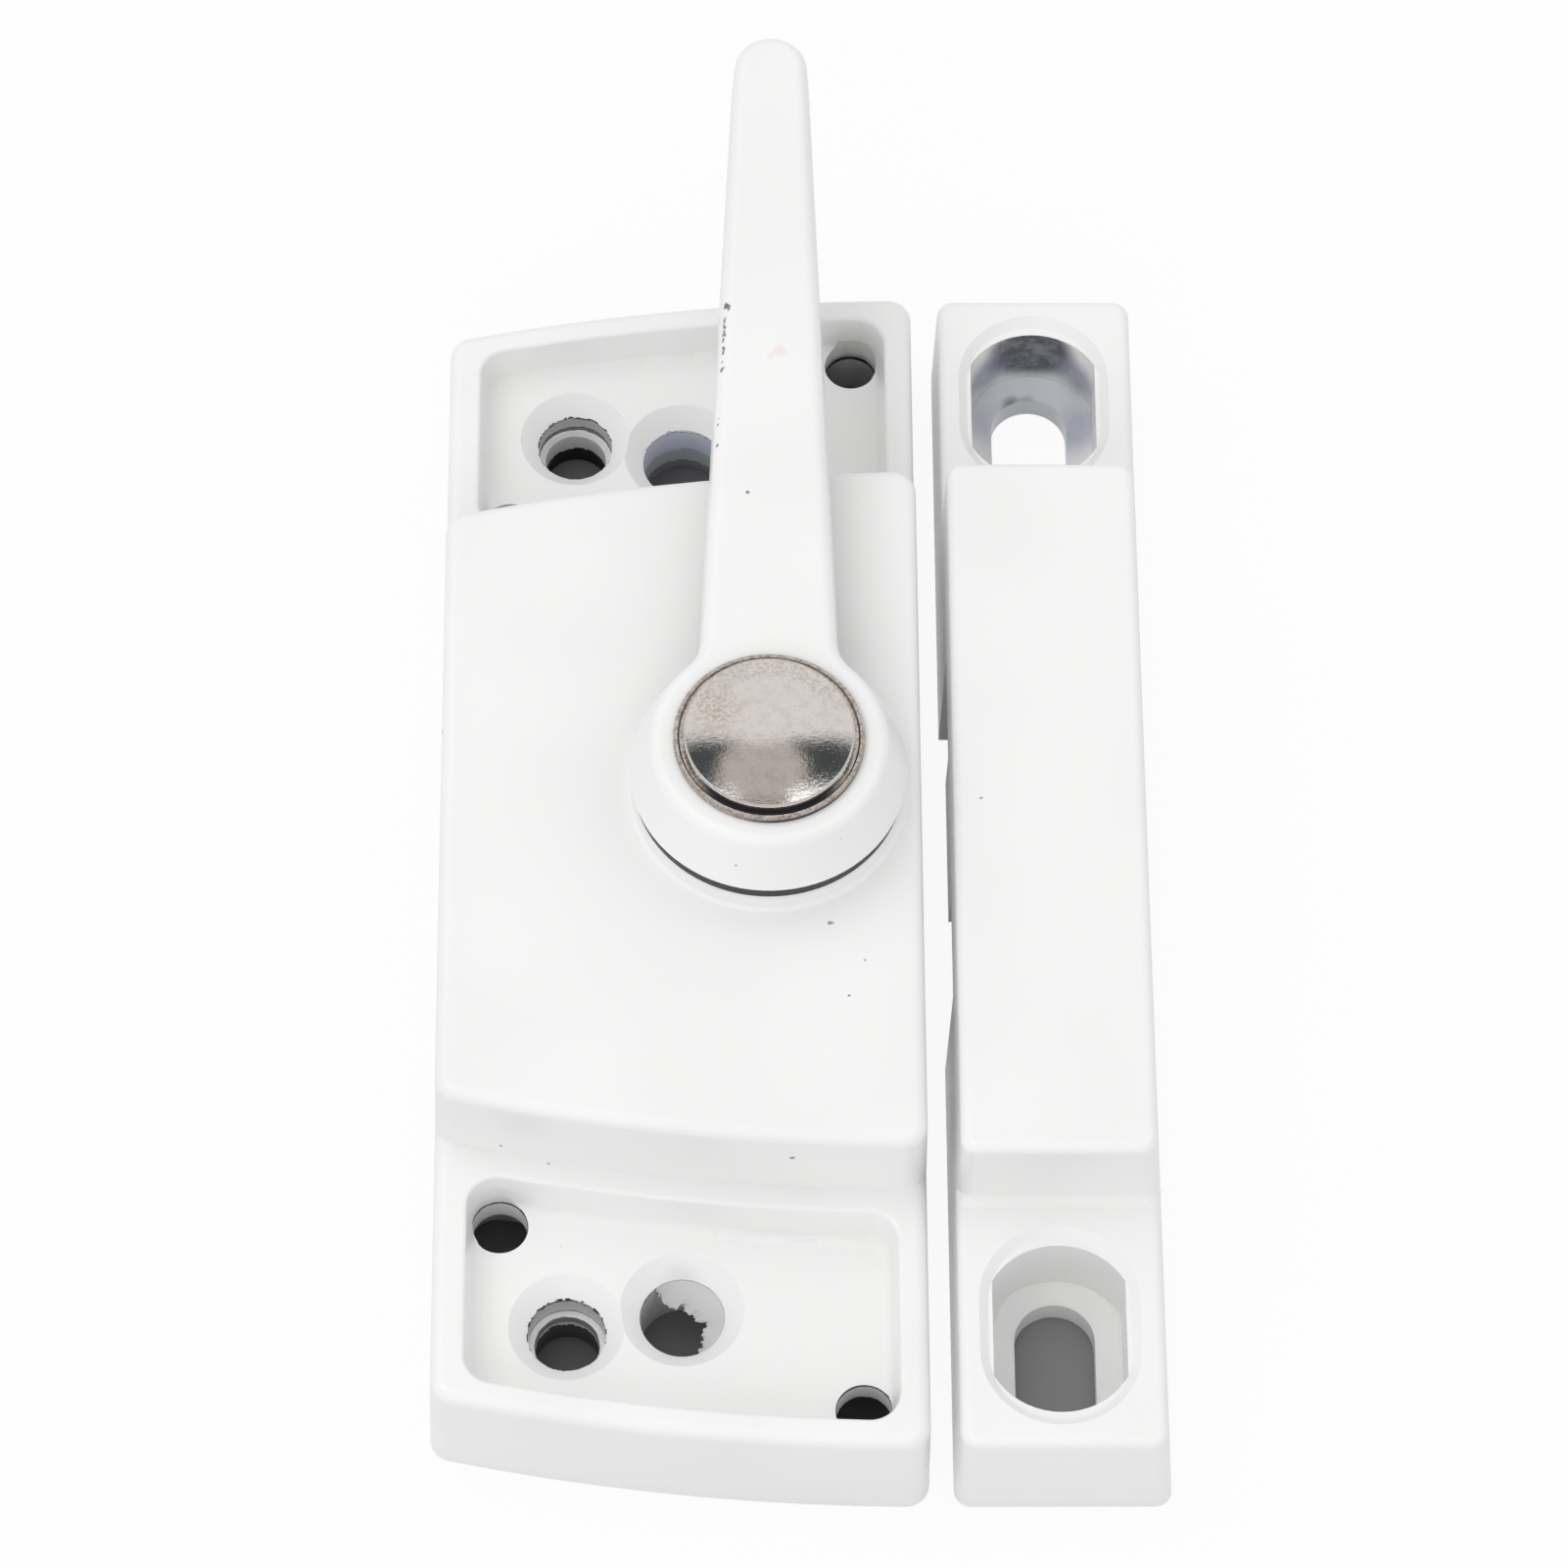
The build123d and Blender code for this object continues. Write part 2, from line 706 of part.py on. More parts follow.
def keeper():
    """The painted casting on the other sash."""
    casting = keeper_body() - keeper_hollow() - keeper_mouth()
    for side in (1, -1):
        casting -= Pos(keeper_screw_x, side * keeper_screw_y, 0) * keeper_screw_slot()
    return casting


def all_parts():
    """Every piece by name."""
    parts = {
        "lock_case": lock_case(),
        "back_plate": back_plate(),
        "bearing_bush": at_pivot(bearing_bush()),
        "friction_washer": at_pivot(friction_washer()),
        "thrust_washer": at_pivot(thrust_washer()),
        "detent_spring": at_pivot(detent_spring()),
        "lever_handle": at_pivot(lever_handle()),
        "spindle": at_pivot(spindle()),
        "cup_washer": at_pivot(cup_washer()),
        "hook_cam": at_pivot(hook_cam()),
        "cam_washer": at_pivot(cam_washer()),
        "disc_spring": at_pivot(disc_spring()),
        "retaining_clip": at_pivot(retaining_clip()),
        "keeper": keeper(),
    }
    for number, (x, y) in enumerate(plate_screw_places(), 1):
        parts[f"back_plate_screw_{number}"] = plate_screw(x, y)
    for number, x in enumerate(stop_pin_places(), 1):
        parts[f"stop_pin_{number}"] = at_pivot(stop_pin(x))
    return parts


os.makedirs("parts", exist_ok=True)
for name, shape in all_parts().items():
    export_step(shape, f"parts/{name}.step")
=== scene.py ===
"""Studio scene of the sliding window lock: materials, torn paint, floor, light and camera.

Places and sizes on the object are in millimetres in the model's own frame. MM turns them into
metres.
"""
import math
from random import Random

import bmesh
import bpy
from mathutils import Matrix, Vector


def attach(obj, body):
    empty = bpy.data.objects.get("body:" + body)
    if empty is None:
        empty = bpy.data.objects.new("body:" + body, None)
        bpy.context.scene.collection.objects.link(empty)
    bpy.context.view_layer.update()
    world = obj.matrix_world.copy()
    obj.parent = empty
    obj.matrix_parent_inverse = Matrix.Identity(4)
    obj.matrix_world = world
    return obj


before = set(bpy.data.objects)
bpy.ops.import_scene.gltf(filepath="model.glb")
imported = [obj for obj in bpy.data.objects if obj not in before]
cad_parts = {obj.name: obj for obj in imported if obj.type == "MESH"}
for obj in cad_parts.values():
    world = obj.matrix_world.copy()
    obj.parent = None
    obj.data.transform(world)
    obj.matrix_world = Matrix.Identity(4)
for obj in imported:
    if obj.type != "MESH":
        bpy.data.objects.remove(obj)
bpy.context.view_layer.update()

MM = 0.001
PIVOT = (6.5, 0.6)  # the lever's axis

# Colours of the castings, from white to black, with painted light and painted shade among them
# White paint made lighter than the coat's own colour: painted light
PAINT_WITH_PAINTED_LIGHT = (0.95, 0.95, 0.95)
PAINT = (0.885, 0.885, 0.88)
BLUE_WALL = (0.82, 0.87, 0.98)
GREY_WALL = (0.66, 0.66, 0.67)
MID_WALL = (0.36, 0.36, 0.37)
SHADE = (0.12, 0.12, 0.125)
# Near black: painted shade deep in the screw holes and round the nickel head, and black ragged
# edges at the holes' tops
BLACK_EDGE_AND_SHADE = (0.03, 0.03, 0.032)
ZINC = (0.5, 0.5, 0.495)
DARK_ZINC = (0.2, 0.2, 0.21)
DUST = (0.5, 0.48, 0.45)
PINK_SMUDGE = (0.85, 0.6, 0.6)
BLUE_BLACK = (0.02, 0.028, 0.055)
BLUE_STAIN = (0.14, 0.17, 0.27)

# Colours of the nickel
TARNISH = (0.4, 0.32, 0.22)
BROWN_RING = (0.36, 0.31, 0.27)
BROWN_GRAIN = (0.4, 0.34, 0.29)

# Colours of the room
ROOM_WHITE = (0.82, 0.82, 0.82)
PALE_CEILING = (0.74, 0.72, 0.71)
BACK_WALL = (0.9, 0.87, 0.85)
HORIZON = (0.62, 0.6, 0.59)
DARK_FLAG = (0.075, 0.085, 0.085)
BEIGE_CARD = (0.58, 0.535, 0.5)
LAMP_GLARE = (2.4, 2.4, 2.4)


def scaled(color, factor):
    return tuple(channel * factor for channel in color)


class Nodes:
    """Short calls for building one node tree."""

    def __init__(self, tree):
        self.tree = tree

    def add(self, kind, **settings):
        node = self.tree.nodes.new(kind)
        for name, value in settings.items():
            setattr(node, name, value)
        return node

    def put(self, socket, value):
        """Link a socket to another, or give it a constant value."""
        if isinstance(value, bpy.types.NodeSocket):
            self.tree.links.new(value, socket)
        else:
            socket.default_value = value

    def math(self, operation, *values, clamp=False):
        node = self.add("ShaderNodeMath", operation=operation, use_clamp=clamp)
        for socket, value in zip(node.inputs, values):
            self.put(socket, value)
        return node.outputs[0]

    def vector(self, operation, *values, out=0):
        node = self.add("ShaderNodeVectorMath", operation=operation)
        for socket, value in zip(node.inputs, values):
            self.put(socket, value)
        return node.outputs[out]

    def product(self, *factors):
        """The product of values, such as masks that all have to hold."""
        total = factors[0]
        for factor in factors[1:]:
            total = self.math("MULTIPLY", total, factor)
        return total

    def largest(self, masks):
        """The largest of several masks, so that any of them can hold."""
        total = masks[0]
        for mask in masks[1:]:
            total = self.math("MAXIMUM", total, mask)
        return total

    def squares(self, a, b):
        return self.math("ADD", self.product(a, a), self.product(b, b))

    def below(self, value, limit):
        return self.math("LESS_THAN", value, limit)

    def above(self, value, limit):
        return self.math("GREATER_THAN", value, limit)

    def within(self, value, limit):
        """1 where a value is nearer to zero than the limit, whatever its sign."""
        return self.below(self.math("ABSOLUTE", value), limit)

    def noise_node(self, where, scale, detail):
        node = self.add("ShaderNodeTexNoise")
        self.put(node.inputs["Vector"], where)
        node.inputs["Scale"].default_value = scale
        node.inputs["Detail"].default_value = detail
        return node

    def noise(self, where, scale, detail=3.0, roughness=0.5, stretch=None):
        if stretch:
            where = self.vector("MULTIPLY", where, stretch)
        node = self.noise_node(where, scale, detail)
        node.inputs["Roughness"].default_value = roughness
        return node.outputs["Fac"]

    def dots(self, where, scale, share, inner, outer):
        """Round dots in a share of the cells, soft from the inner to the outer radius."""
        node = self.add("ShaderNodeTexVoronoi")
        self.put(node.inputs["Vector"], where)
        node.inputs["Scale"].default_value = scale
        chosen = self.above(self.split(node.outputs["Color"])[0], 1.0 - share)
        return self.product(chosen, self.ramp(node.outputs["Distance"], inner, outer, 1.0, 0.0))

    def ramp(self, value, low, high, start=0.0, end=1.0):
        """A value from low to high becomes start to end, held beyond both."""
        node = self.add("ShaderNodeMapRange", interpolation_type="SMOOTHSTEP")
        self.put(node.inputs["Value"], value)
        self.put(node.inputs["From Min"], low)
        self.put(node.inputs["From Max"], high)
        self.put(node.inputs["To Min"], start)
        self.put(node.inputs["To Max"], end)
        return node.outputs["Result"]

    def mix(self, amount, a, b):
        """Colour a where the amount is 0 and colour b where it is 1."""
        node = self.add("ShaderNodeMix", data_type="RGBA")
        self.put(node.inputs["Factor"], amount)
        for socket, value in ((node.inputs[6], a), (node.inputs[7], b)):
            if not isinstance(value, bpy.types.NodeSocket):
                value = (*value, 1.0)
            self.put(socket, value)
        return node.outputs[2]

    def bump(self, height, strength, distance, normal=None):
        node = self.add("ShaderNodeBump")
        node.inputs["Strength"].default_value = strength
        node.inputs["Distance"].default_value = distance
        self.put(node.inputs["Height"], height)
        if normal is not None:
            self.put(node.inputs["Normal"], normal)
        return node.outputs["Normal"]

    def where(self):
        """The place on the object in millimetres, in the model's own frame."""
        place = self.add("ShaderNodeTexCoord").outputs["Object"]
        return self.vector("MULTIPLY", place, (1 / MM,) * 3)

    def split(self, vector):
        node = self.add("ShaderNodeSeparateXYZ")
        self.put(node.inputs[0], vector)
        return node.outputs

    def near(self, where, centre, radius, soft):
        """1 inside a ball and 0 outside it."""
        distance = self.vector("DISTANCE", where, centre, out=1)
        return self.ramp(distance, radius - soft, radius + soft, 1.0, 0.0)


def new_material(name, color, metallic, roughness):
    material = bpy.data.materials.new(name)
    material.use_nodes = True
    nodes = Nodes(material.node_tree)
    shader = material.node_tree.nodes["Principled BSDF"]
    shader.inputs["Base Color"].default_value = (*color, 1.0)
    shader.inputs["Metallic"].default_value = metallic
    shader.inputs["Roughness"].default_value = roughness
    return material, nodes, shader


def give(node_name, material):
    """Put one material in every slot of a CAD node."""
    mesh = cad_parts[node_name].data
    if not mesh.materials:
        mesh.materials.append(material)
    for index in range(len(mesh.materials)):
        mesh.materials[index] = material


# White enamel on cast zinc, worn through where a place says so, with painted light and shade down
# its holes
def in_hole(nodes, where, centre, radius, side):
    """Whether a place lies in a screw hole, and its level.

    The level is its height, less its way in over a ledge. A side is a direction in which the
    paint is kept deeper, and by how much.
    """
    wall_slack, ledge_start, lean_from, lean_to = 0.06, 0.1, -2.4, 2.6
    x, y, z = nodes.split(nodes.vector("SUBTRACT", where, (*centre, 0.0)))
    across = nodes.math("SQRT", nodes.squares(x, y))
    inside = nodes.below(across, radius + wall_slack)
    way_in = nodes.math("MINIMUM", nodes.math("SUBTRACT", across, radius - ledge_start), 0.0)
    level = nodes.math("ADD", z, way_in)
    if side:
        lean_x, lean_y, drop = side
        lean = nodes.math("ADD", nodes.product(x, lean_x), nodes.product(y, lean_y))
        level = nodes.math("ADD", level, nodes.ramp(lean, lean_from, lean_to, 0.0, drop))
    return inside, level


def dirtied(nodes, where, paint, dirt):
    """The paint with soft stains on it, none of them on the end faces."""
    end_faces_start, thinnest = 47.9, 0.82
    grime = nodes.noise(where, scale=0.7, roughness=0.7)
    _, y, z = nodes.split(where)
    off_the_ends = nodes.within(y, end_faces_start)
    for centre, radius, soft, ceiling, tint, amount in dirt:
        spot = nodes.near(where, centre, radius, soft)
        patchy = nodes.ramp(grime, 0.3, 0.62, thinnest)
        stain = nodes.product(spot, patchy, nodes.below(z, ceiling), off_the_ends, amount)
        paint = nodes.mix(stain, paint, tint)
    return paint


def worn_holes_with_painted_light(nodes, where, paint, holes_bare_and_painted_light):
    """The paint with ragged bands of colour down its holes, among them painted highlight and
    painted shade, and a mask of each hole's bare part.
    """
    teeth = nodes.noise(where, scale=1.6, detail=2.5, roughness=0.75)
    masks = []
    for centre, radius, side, bands in holes_bare_and_painted_light:
        inside, level = in_hole(nodes, where, centre, radius, side)
        for number, (top, ragged_by, tint) in enumerate(bands):
            edge = nodes.math("MULTIPLY_ADD", teeth, ragged_by, top - ragged_by / 2)
            band = nodes.product(inside, nodes.below(level, edge))
            paint = nodes.mix(band, paint, tint)
            if number == 0:
                masks.append(band)
    return paint, masks


def chip_masks(nodes, where, chips):
    """A mask with a ragged outline for each chip."""
    jitter = nodes.noise_node(where, scale=2.6, detail=1.0)
    shift = nodes.vector("SUBTRACT", jitter.outputs["Color"], (0.5,) * 3)
    ragged = nodes.vector("ADD", where, nodes.vector("MULTIPLY", shift, (0.5,) * 3))
    return [nodes.near(ragged, centre, radius, soft=0.04) for centre, radius in chips]


def enamel(name, holes_bare_and_painted_light=(), chips=(), dirt=(), specks=0.0, color=PAINT):
    """Slightly uneven glossy enamel with bare metal in its holes and chips, painted light and shade
    down its holes, and dirty places.
    """
    material, nodes, shader = new_material(name, color, metallic=0.0, roughness=0.3)
    where = nodes.where()
    cloud = nodes.noise(where, scale=0.09, detail=0.0)
    fine = nodes.noise(where, scale=1.8, detail=1.5, roughness=0.6)
    wave = nodes.noise(where, scale=0.22, detail=0.0)
    paint = nodes.mix(nodes.ramp(cloud, 0.3, 0.7), color, scaled(color, 0.975))
    # A few specks of dust and pinholes in the coat
    speck = nodes.dots(where, scale=0.34, share=specks, inner=0.02, outer=0.05)
    paint = nodes.mix(nodes.product(speck, 0.45), paint, DUST)
    paint = dirtied(nodes, where, paint, dirt)
    paint, hole_masks = worn_holes_with_painted_light(nodes, where, paint, holes_bare_and_painted_light)
    masks = hole_masks + chip_masks(nodes, where, chips)
    rough = nodes.math("MULTIPLY_ADD", fine, 0.1, 0.26)
    if masks:
        bare = nodes.largest(masks)
        chipped = bare
        if hole_masks:
            chipped = nodes.math("SUBTRACT", bare, nodes.largest(hole_masks), clamp=True)
        primer = nodes.noise(where, scale=0.9, detail=1.5, roughness=0.65)
        metal = nodes.mix(nodes.ramp(primer, 0.2, 0.5), ZINC, DARK_ZINC)
        paint = nodes.mix(chipped, paint, metal)
        nodes.put(shader.inputs["Metallic"], nodes.product(bare, 0.35))
        rough = nodes.math("MULTIPLY_ADD", bare, 0.22, rough)
    height = nodes.math("MULTIPLY_ADD", fine, 0.1, wave)
    nodes.put(shader.inputs["Base Color"], paint)
    nodes.put(shader.inputs["Roughness"], rough)
    nodes.put(shader.inputs["Normal"], nodes.bump(height, strength=0.12, distance=0.0004))
    shader.inputs["Specular IOR Level"].default_value = 0.42
    return material


BLOCK_TOP = 17.8
LEVER_EDGE = 25.0

# Holes: centre, radius, side that keeps its paint,
# then bands from the top down: level, raggedness, colour
# Painted light and shade: the lightest white bands are paint lit more than the coat, the bands grow
# darker down each bore, and the SHADE and near-black bands low in the bores are painted shade; a
# near-black band at a hole's top is a black ragged edge
case_holes = [
    ((-8.4, -38.6), 2.9, None, ((5.42, 1.6, BLACK_EDGE_AND_SHADE), (5.14, 1.6, GREY_WALL), (3.6, 0.3, DARK_ZINC),
                                (3.42, 0.1, PAINT_WITH_PAINTED_LIGHT), (3.04, 0.25, MID_WALL), (2.2, 0.3, PAINT_WITH_PAINTED_LIGHT),
                                (1.75, 1.6, SHADE))),
    ((-8.4, 38.6), 2.9, None, ((5.42, 1.0, BLACK_EDGE_AND_SHADE), (5.26, 1.2, GREY_WALL), (4.1, 0.8, DARK_ZINC),
                               (3.56, 0.4, PAINT_WITH_PAINTED_LIGHT), (1.3, 1.0, BLACK_EDGE_AND_SHADE))),
    ((0.1, -37.2), 3.15, (0.3, -0.1, 1.0), ((5.3, 1.0, BLACK_EDGE_AND_SHADE), (5.14, 1.0, GREY_WALL))),
    ((0.1, 37.2), 3.15, None, ((5.2, 1.4, DARK_ZINC), (5.12, 1.4, BLUE_WALL), (2.7, 1.0, GREY_WALL),
                               (1.0, 0.6, MID_WALL))),
    ((-13.4, -30.5), 2.05, None, ((6.95, 0.4, BLACK_EDGE_AND_SHADE), (6.7, 0.3, PAINT_WITH_PAINTED_LIGHT), (4.85, 0.2, SHADE))),
    ((13.4, -45.4), 2.05, None, ((6.95, 0.6, BLACK_EDGE_AND_SHADE), (6.66, 0.5, PAINT_WITH_PAINTED_LIGHT), (4.95, 0.5, SHADE))),
    ((13.4, 45.4), 2.05, None, ((5.6, 0.3, GREY_WALL), (5.2, 0.3, BLACK_EDGE_AND_SHADE))),
]

# Chips: centre, radius
case_chips = [
    ((11.1, -10.8, BLOCK_TOP), 0.17),
    ((12.4, -16.9, BLOCK_TOP), 0.11),
    ((13.6, -14.0, BLOCK_TOP), 0.1),
    ((-17.9, 6.0, 16.9), 0.25),
    ((8.1, -28.8, 14.9), 0.16),
    ((-13.2, -26.0, 11.5), 0.16),
    ((6.9, -28.7, 17.6), 0.12),
    ((-9.7, -27.0, 10.4), 0.11),
]
keeper_chips = [((22.4, -0.1, BLOCK_TOP), 0.12)]

# Paint rubbed off along the left edge of the lever, from its top down
lever_chips = [((3.46, 39.1, LEVER_EDGE), 0.3), ((3.6, 38.75, 25.1), 0.16)]
lever_chips += [((3.3 - 0.016 * n, 38.2 - 0.21 * n, LEVER_EDGE), 0.14 + 0.02 * (n % 3))
                for n in range(12)]
lever_chips += [((3.17 - 0.01 * n, 35.5 - 0.2 * n, LEVER_EDGE), 0.13) for n in range(5)]
lever_chips += [
    ((3.17, 33.95, LEVER_EDGE), 0.13),
    ((3.12, 33.3, LEVER_EDGE), 0.19),
    ((2.75, 28.9, 24.95), 0.1),
    ((2.73, 28.4, 24.95), 0.1),
    ((2.69, 26.5, 24.95), 0.15),
    ((4.98, 22.14, 25.2), 0.13),
    ((4.1, -8.5, 22.6), 0.14),
]

# Dirt: centre, radius, softness, height it stays below, colour, amount
lever_dirt = [
    ((7.5, 34.9, 25.2), 0.4, 0.35, 26.0, PINK_SMUDGE, 0.45),
    ((6.8, 34.4, 25.2), 0.2, 0.2, 26.0, PINK_SMUDGE, 0.4),
]
# Greyer patches on the far side of three screw holes
case_grey_patches = [
    ((0.1, -34.4, 5.6), 1.2, 0.8, 7.0, (0.5, 0.5, 0.52), 0.3),
    ((13.4, 47.3, 7.4), 2.2, 1.2, 10.0, (0.55, 0.54, 0.53), 0.45),
    ((-13.4, -28.4, 7.6), 1.6, 1.0, 9.0, (0.6, 0.6, 0.6), 0.3),
]
keeper_dirt = [
    # The sink's upper wall, its two sides and its floor
    ((27.7, 46.6, 7.4), 3.5, 1.0, 9.4, BLUE_BLACK, 1.0),
    ((24.4, 45.0, 5.6), 1.9, 1.2, 9.4, BLUE_STAIN, 0.7),
    ((31.2, 45.0, 5.6), 1.9, 1.2, 9.4, BLUE_STAIN, 0.7),
    ((27.7, 43.2, 3.0), 4.4, 1.6, 3.6, (0.5, 0.55, 0.7), 0.35),
    # A dark and a reddish mark above the slot
    ((26.6, 44.35, 2.7), 1.05, 0.3, 3.7, (0.02, 0.02, 0.025), 1.0),
    ((27.6, 44.5, 2.7), 1.0, 0.3, 3.7, (0.1, 0.045, 0.045), 0.95),
    # Faint blue beside the slot
    ((31.3, 42.0, 3.2), 1.8, 1.4, 6.0, (0.3, 0.34, 0.48), 0.6),
    ((24.0, 42.5, 3.4), 1.5, 1.2, 6.0, (0.4, 0.43, 0.55), 0.5),
]

give("lock_case", enamel("case_enamel", case_holes, case_chips, case_grey_patches, specks=0.04))
give("keeper", enamel("keeper_enamel", (), keeper_chips, keeper_dirt, specks=0.03))
give("lever_handle", enamel("lever_enamel", (), lever_chips, lever_dirt, specks=0.03))


# Plain metals and the nylon washer
def plain_metal(name, color, roughness):
    """Plated or ground steel with short fine scratches."""
    material, nodes, shader = new_material(name, color, metallic=1.0, roughness=roughness)
    where = nodes.where()
    streak = nodes.noise(where, scale=2.0, detail=4.0, roughness=0.6, stretch=(1.0, 7.0, 1.0))
    patch = nodes.noise(where, scale=0.35)
    base = nodes.mix(nodes.ramp(streak, 0.3, 0.75), color, scaled(color, 0.72))
    rough = nodes.math("MULTIPLY_ADD", patch, 0.2, roughness - 0.1)
    nodes.put(shader.inputs["Base Color"], base)
    nodes.put(shader.inputs["Roughness"], rough)
    nodes.put(shader.inputs["Normal"], nodes.bump(streak, strength=0.15, distance=0.00005))
    return material


plain_metals = [
    # name, colour, roughness, nodes that are made of it
    ("zinc_plated_steel", (0.62, 0.63, 0.65), 0.36,
     ["back_plate"] + [f"back_plate_screw_{number}" for number in (1, 2, 3, 4)]),
    ("cam_steel", (0.55, 0.56, 0.57), 0.34, ["hook_cam"]),
    ("spring_steel", (0.34, 0.34, 0.35), 0.38,
     ["thrust_washer", "detent_spring", "retaining_clip", "disc_spring"]),
    ("ground_steel", (0.6, 0.6, 0.6), 0.26, ["stop_pin_1", "stop_pin_2", "cam_washer"]),
    ("bearing_bronze", (0.52, 0.36, 0.19), 0.42, ["bearing_bush"]),
]
for name, color, roughness, node_names in plain_metals:
    metal = plain_metal(name, color, roughness)
    for node_name in node_names:
        give(node_name, metal)


def black_nylon():
    material, nodes, shader = new_material("black_nylon", (0.02, 0.02, 0.021),
                                           metallic=0.0, roughness=0.45)
    grain = nodes.noise(nodes.where(), scale=2.4)
    nodes.put(shader.inputs["Roughness"], nodes.math("MULTIPLY_ADD", grain, 0.25, 0.35))
    nodes.put(shader.inputs["Normal"], nodes.bump(grain, strength=0.2, distance=0.00008))
    return material


give("friction_washer", black_nylon())


# Worn nickel: the spindle's head and the ring round it, with painted shade in the gap between them
class NickelMarks:
    """The patterns that both nickel pieces share, set out from the lever's axis."""

    def __init__(self, nodes):
        where = nodes.vector("SUBTRACT", nodes.where(), (*PIVOT, 0.0))
        self.where = where
        self.x, self.y, self.z = nodes.split(where)
        self.across = nodes.math("SQRT", nodes.squares(self.x, self.y))
        self.hair = nodes.noise(where, scale=3.2, roughness=0.6, stretch=(0.3, 3.0, 1.0))
        self.mottle = nodes.noise(where, scale=1.15, detail=4.0, roughness=0.62)
        self.grain = nodes.noise(where, scale=3.4, roughness=0.7)
        self.pit = nodes.dots(where, scale=3.0, share=0.55, inner=0.12, outer=0.48)


def finish_nickel(nodes, shader, marks, color, base, painted_shade, polish, hair_depth, grain_depth):
    """Pits, painted shade, roughness and relief over the base colour."""
    base = nodes.mix(nodes.product(marks.pit, 0.16), base, scaled(color, 0.5))
    base = nodes.mix(painted_shade, base, BLACK_EDGE_AND_SHADE)
    rough = nodes.math("MULTIPLY_ADD", marks.mottle, 0.06, polish)
    rough = nodes.math("MULTIPLY_ADD", marks.hair, 0.04, rough)
    normal = nodes.bump(marks.hair, hair_depth, distance=0.00003)
    normal = nodes.bump(marks.grain, grain_depth, distance=0.00003, normal=normal)
    normal = nodes.bump(marks.pit, strength=-1.0, distance=0.00012, normal=normal)
    nodes.put(shader.inputs["Metallic"], nodes.math("SUBTRACT", 1.0, painted_shade))
    nodes.put(shader.inputs["Base Color"], base)
    nodes.put(shader.inputs["Roughness"], rough)
    nodes.put(shader.inputs["Normal"], normal)


def mottled(nodes, marks, color):
    return nodes.mix(nodes.ramp(marks.mottle, 0.42, 0.68), color, scaled(color, 0.9))


def nickel_head():
    """Polished nickel, tarnished on its left and round its upper edge, with painted shade down its
    side.
    """
    color = (0.74, 0.71, 0.685)
    side_radius, side_top = 5.0, 25.98
    material, nodes, shader = new_material("nickel_head", color, metallic=1.0, roughness=0.2)
    marks = NickelMarks(nodes)
    base = mottled(nodes, marks, color)
    left = nodes.near(marks.where, (-3.9, 1.6, 26.6), radius=1.6, soft=1.3)
    stain = nodes.product(left, nodes.ramp(marks.grain, 0.42, 0.6), 0.6)
    base = nodes.mix(stain, base, TARNISH)
    ring = nodes.product(nodes.ramp(marks.across, 4.2, 4.9), nodes.ramp(marks.y, 1.0, 3.5),
                         nodes.ramp(marks.grain, 0.45, 0.62), 0.4)
    base = nodes.mix(ring, base, BROWN_RING)
    # Painted shade down the head's side, darkest at the front
    painted_shade = nodes.product(nodes.below(marks.z, side_top), nodes.above(marks.across, side_radius),
                         nodes.ramp(marks.y, -1.0, 2.5, 1.0, 0.4))
    finish_nickel(nodes, shader, marks, color, base, painted_shade,
                  polish=0.02, hair_depth=0.09, grain_depth=0.24)
    return material


def nickel_ring():
    """Scratched nickel with brown grain, and painted shade at its right and in the near part of its
    groove.
    """
    color = (0.66, 0.62, 0.59)
    rim_radius, rim_foot, groove_radius, groove_top = 7.04, 25.6, 6.6, 25.66
    material, nodes, shader = new_material("nickel_ring", color, metallic=1.0, roughness=0.2)
    marks = NickelMarks(nodes)
    base = mottled(nodes, marks, color)
    base = nodes.mix(nodes.ramp(marks.grain, 0.42, 0.62), base, BROWN_GRAIN)
    # Painted shade: the ring's outer wall below its rim, darker to the right, and the near part of
    # its groove
    to_the_right = nodes.math("MULTIPLY_ADD", marks.y, -0.4, marks.x)
    rim = nodes.product(nodes.below(marks.z, rim_foot), nodes.above(marks.across, rim_radius),
                        nodes.ramp(to_the_right, -1.0, 3.5, 0.25))
    groove = nodes.product(nodes.below(marks.across, groove_radius),
                           nodes.below(marks.z, groove_top),
                           nodes.ramp(marks.y, -5.2, -3.2, 1.0, 0.0))
    finish_nickel(nodes, shader, marks, color, base, nodes.largest([rim, groove]),
                  polish=0.14, hair_depth=0.4, grain_depth=0.5)
    return material


give("spindle", nickel_head())
give("cup_washer", nickel_ring())


# The torn skin of paint that spans half of the lower large screw hole
SKIN_CENTRE = (0.1, -37.2)
SKIN_FOOT = 5.28  # height of the countersink's foot
SKIN_WALL = 3.12  # the sheet ends at this radius
SKIN_THICKNESS = 0.11  # meant for the sheet, which comes out without it: see paint_skin
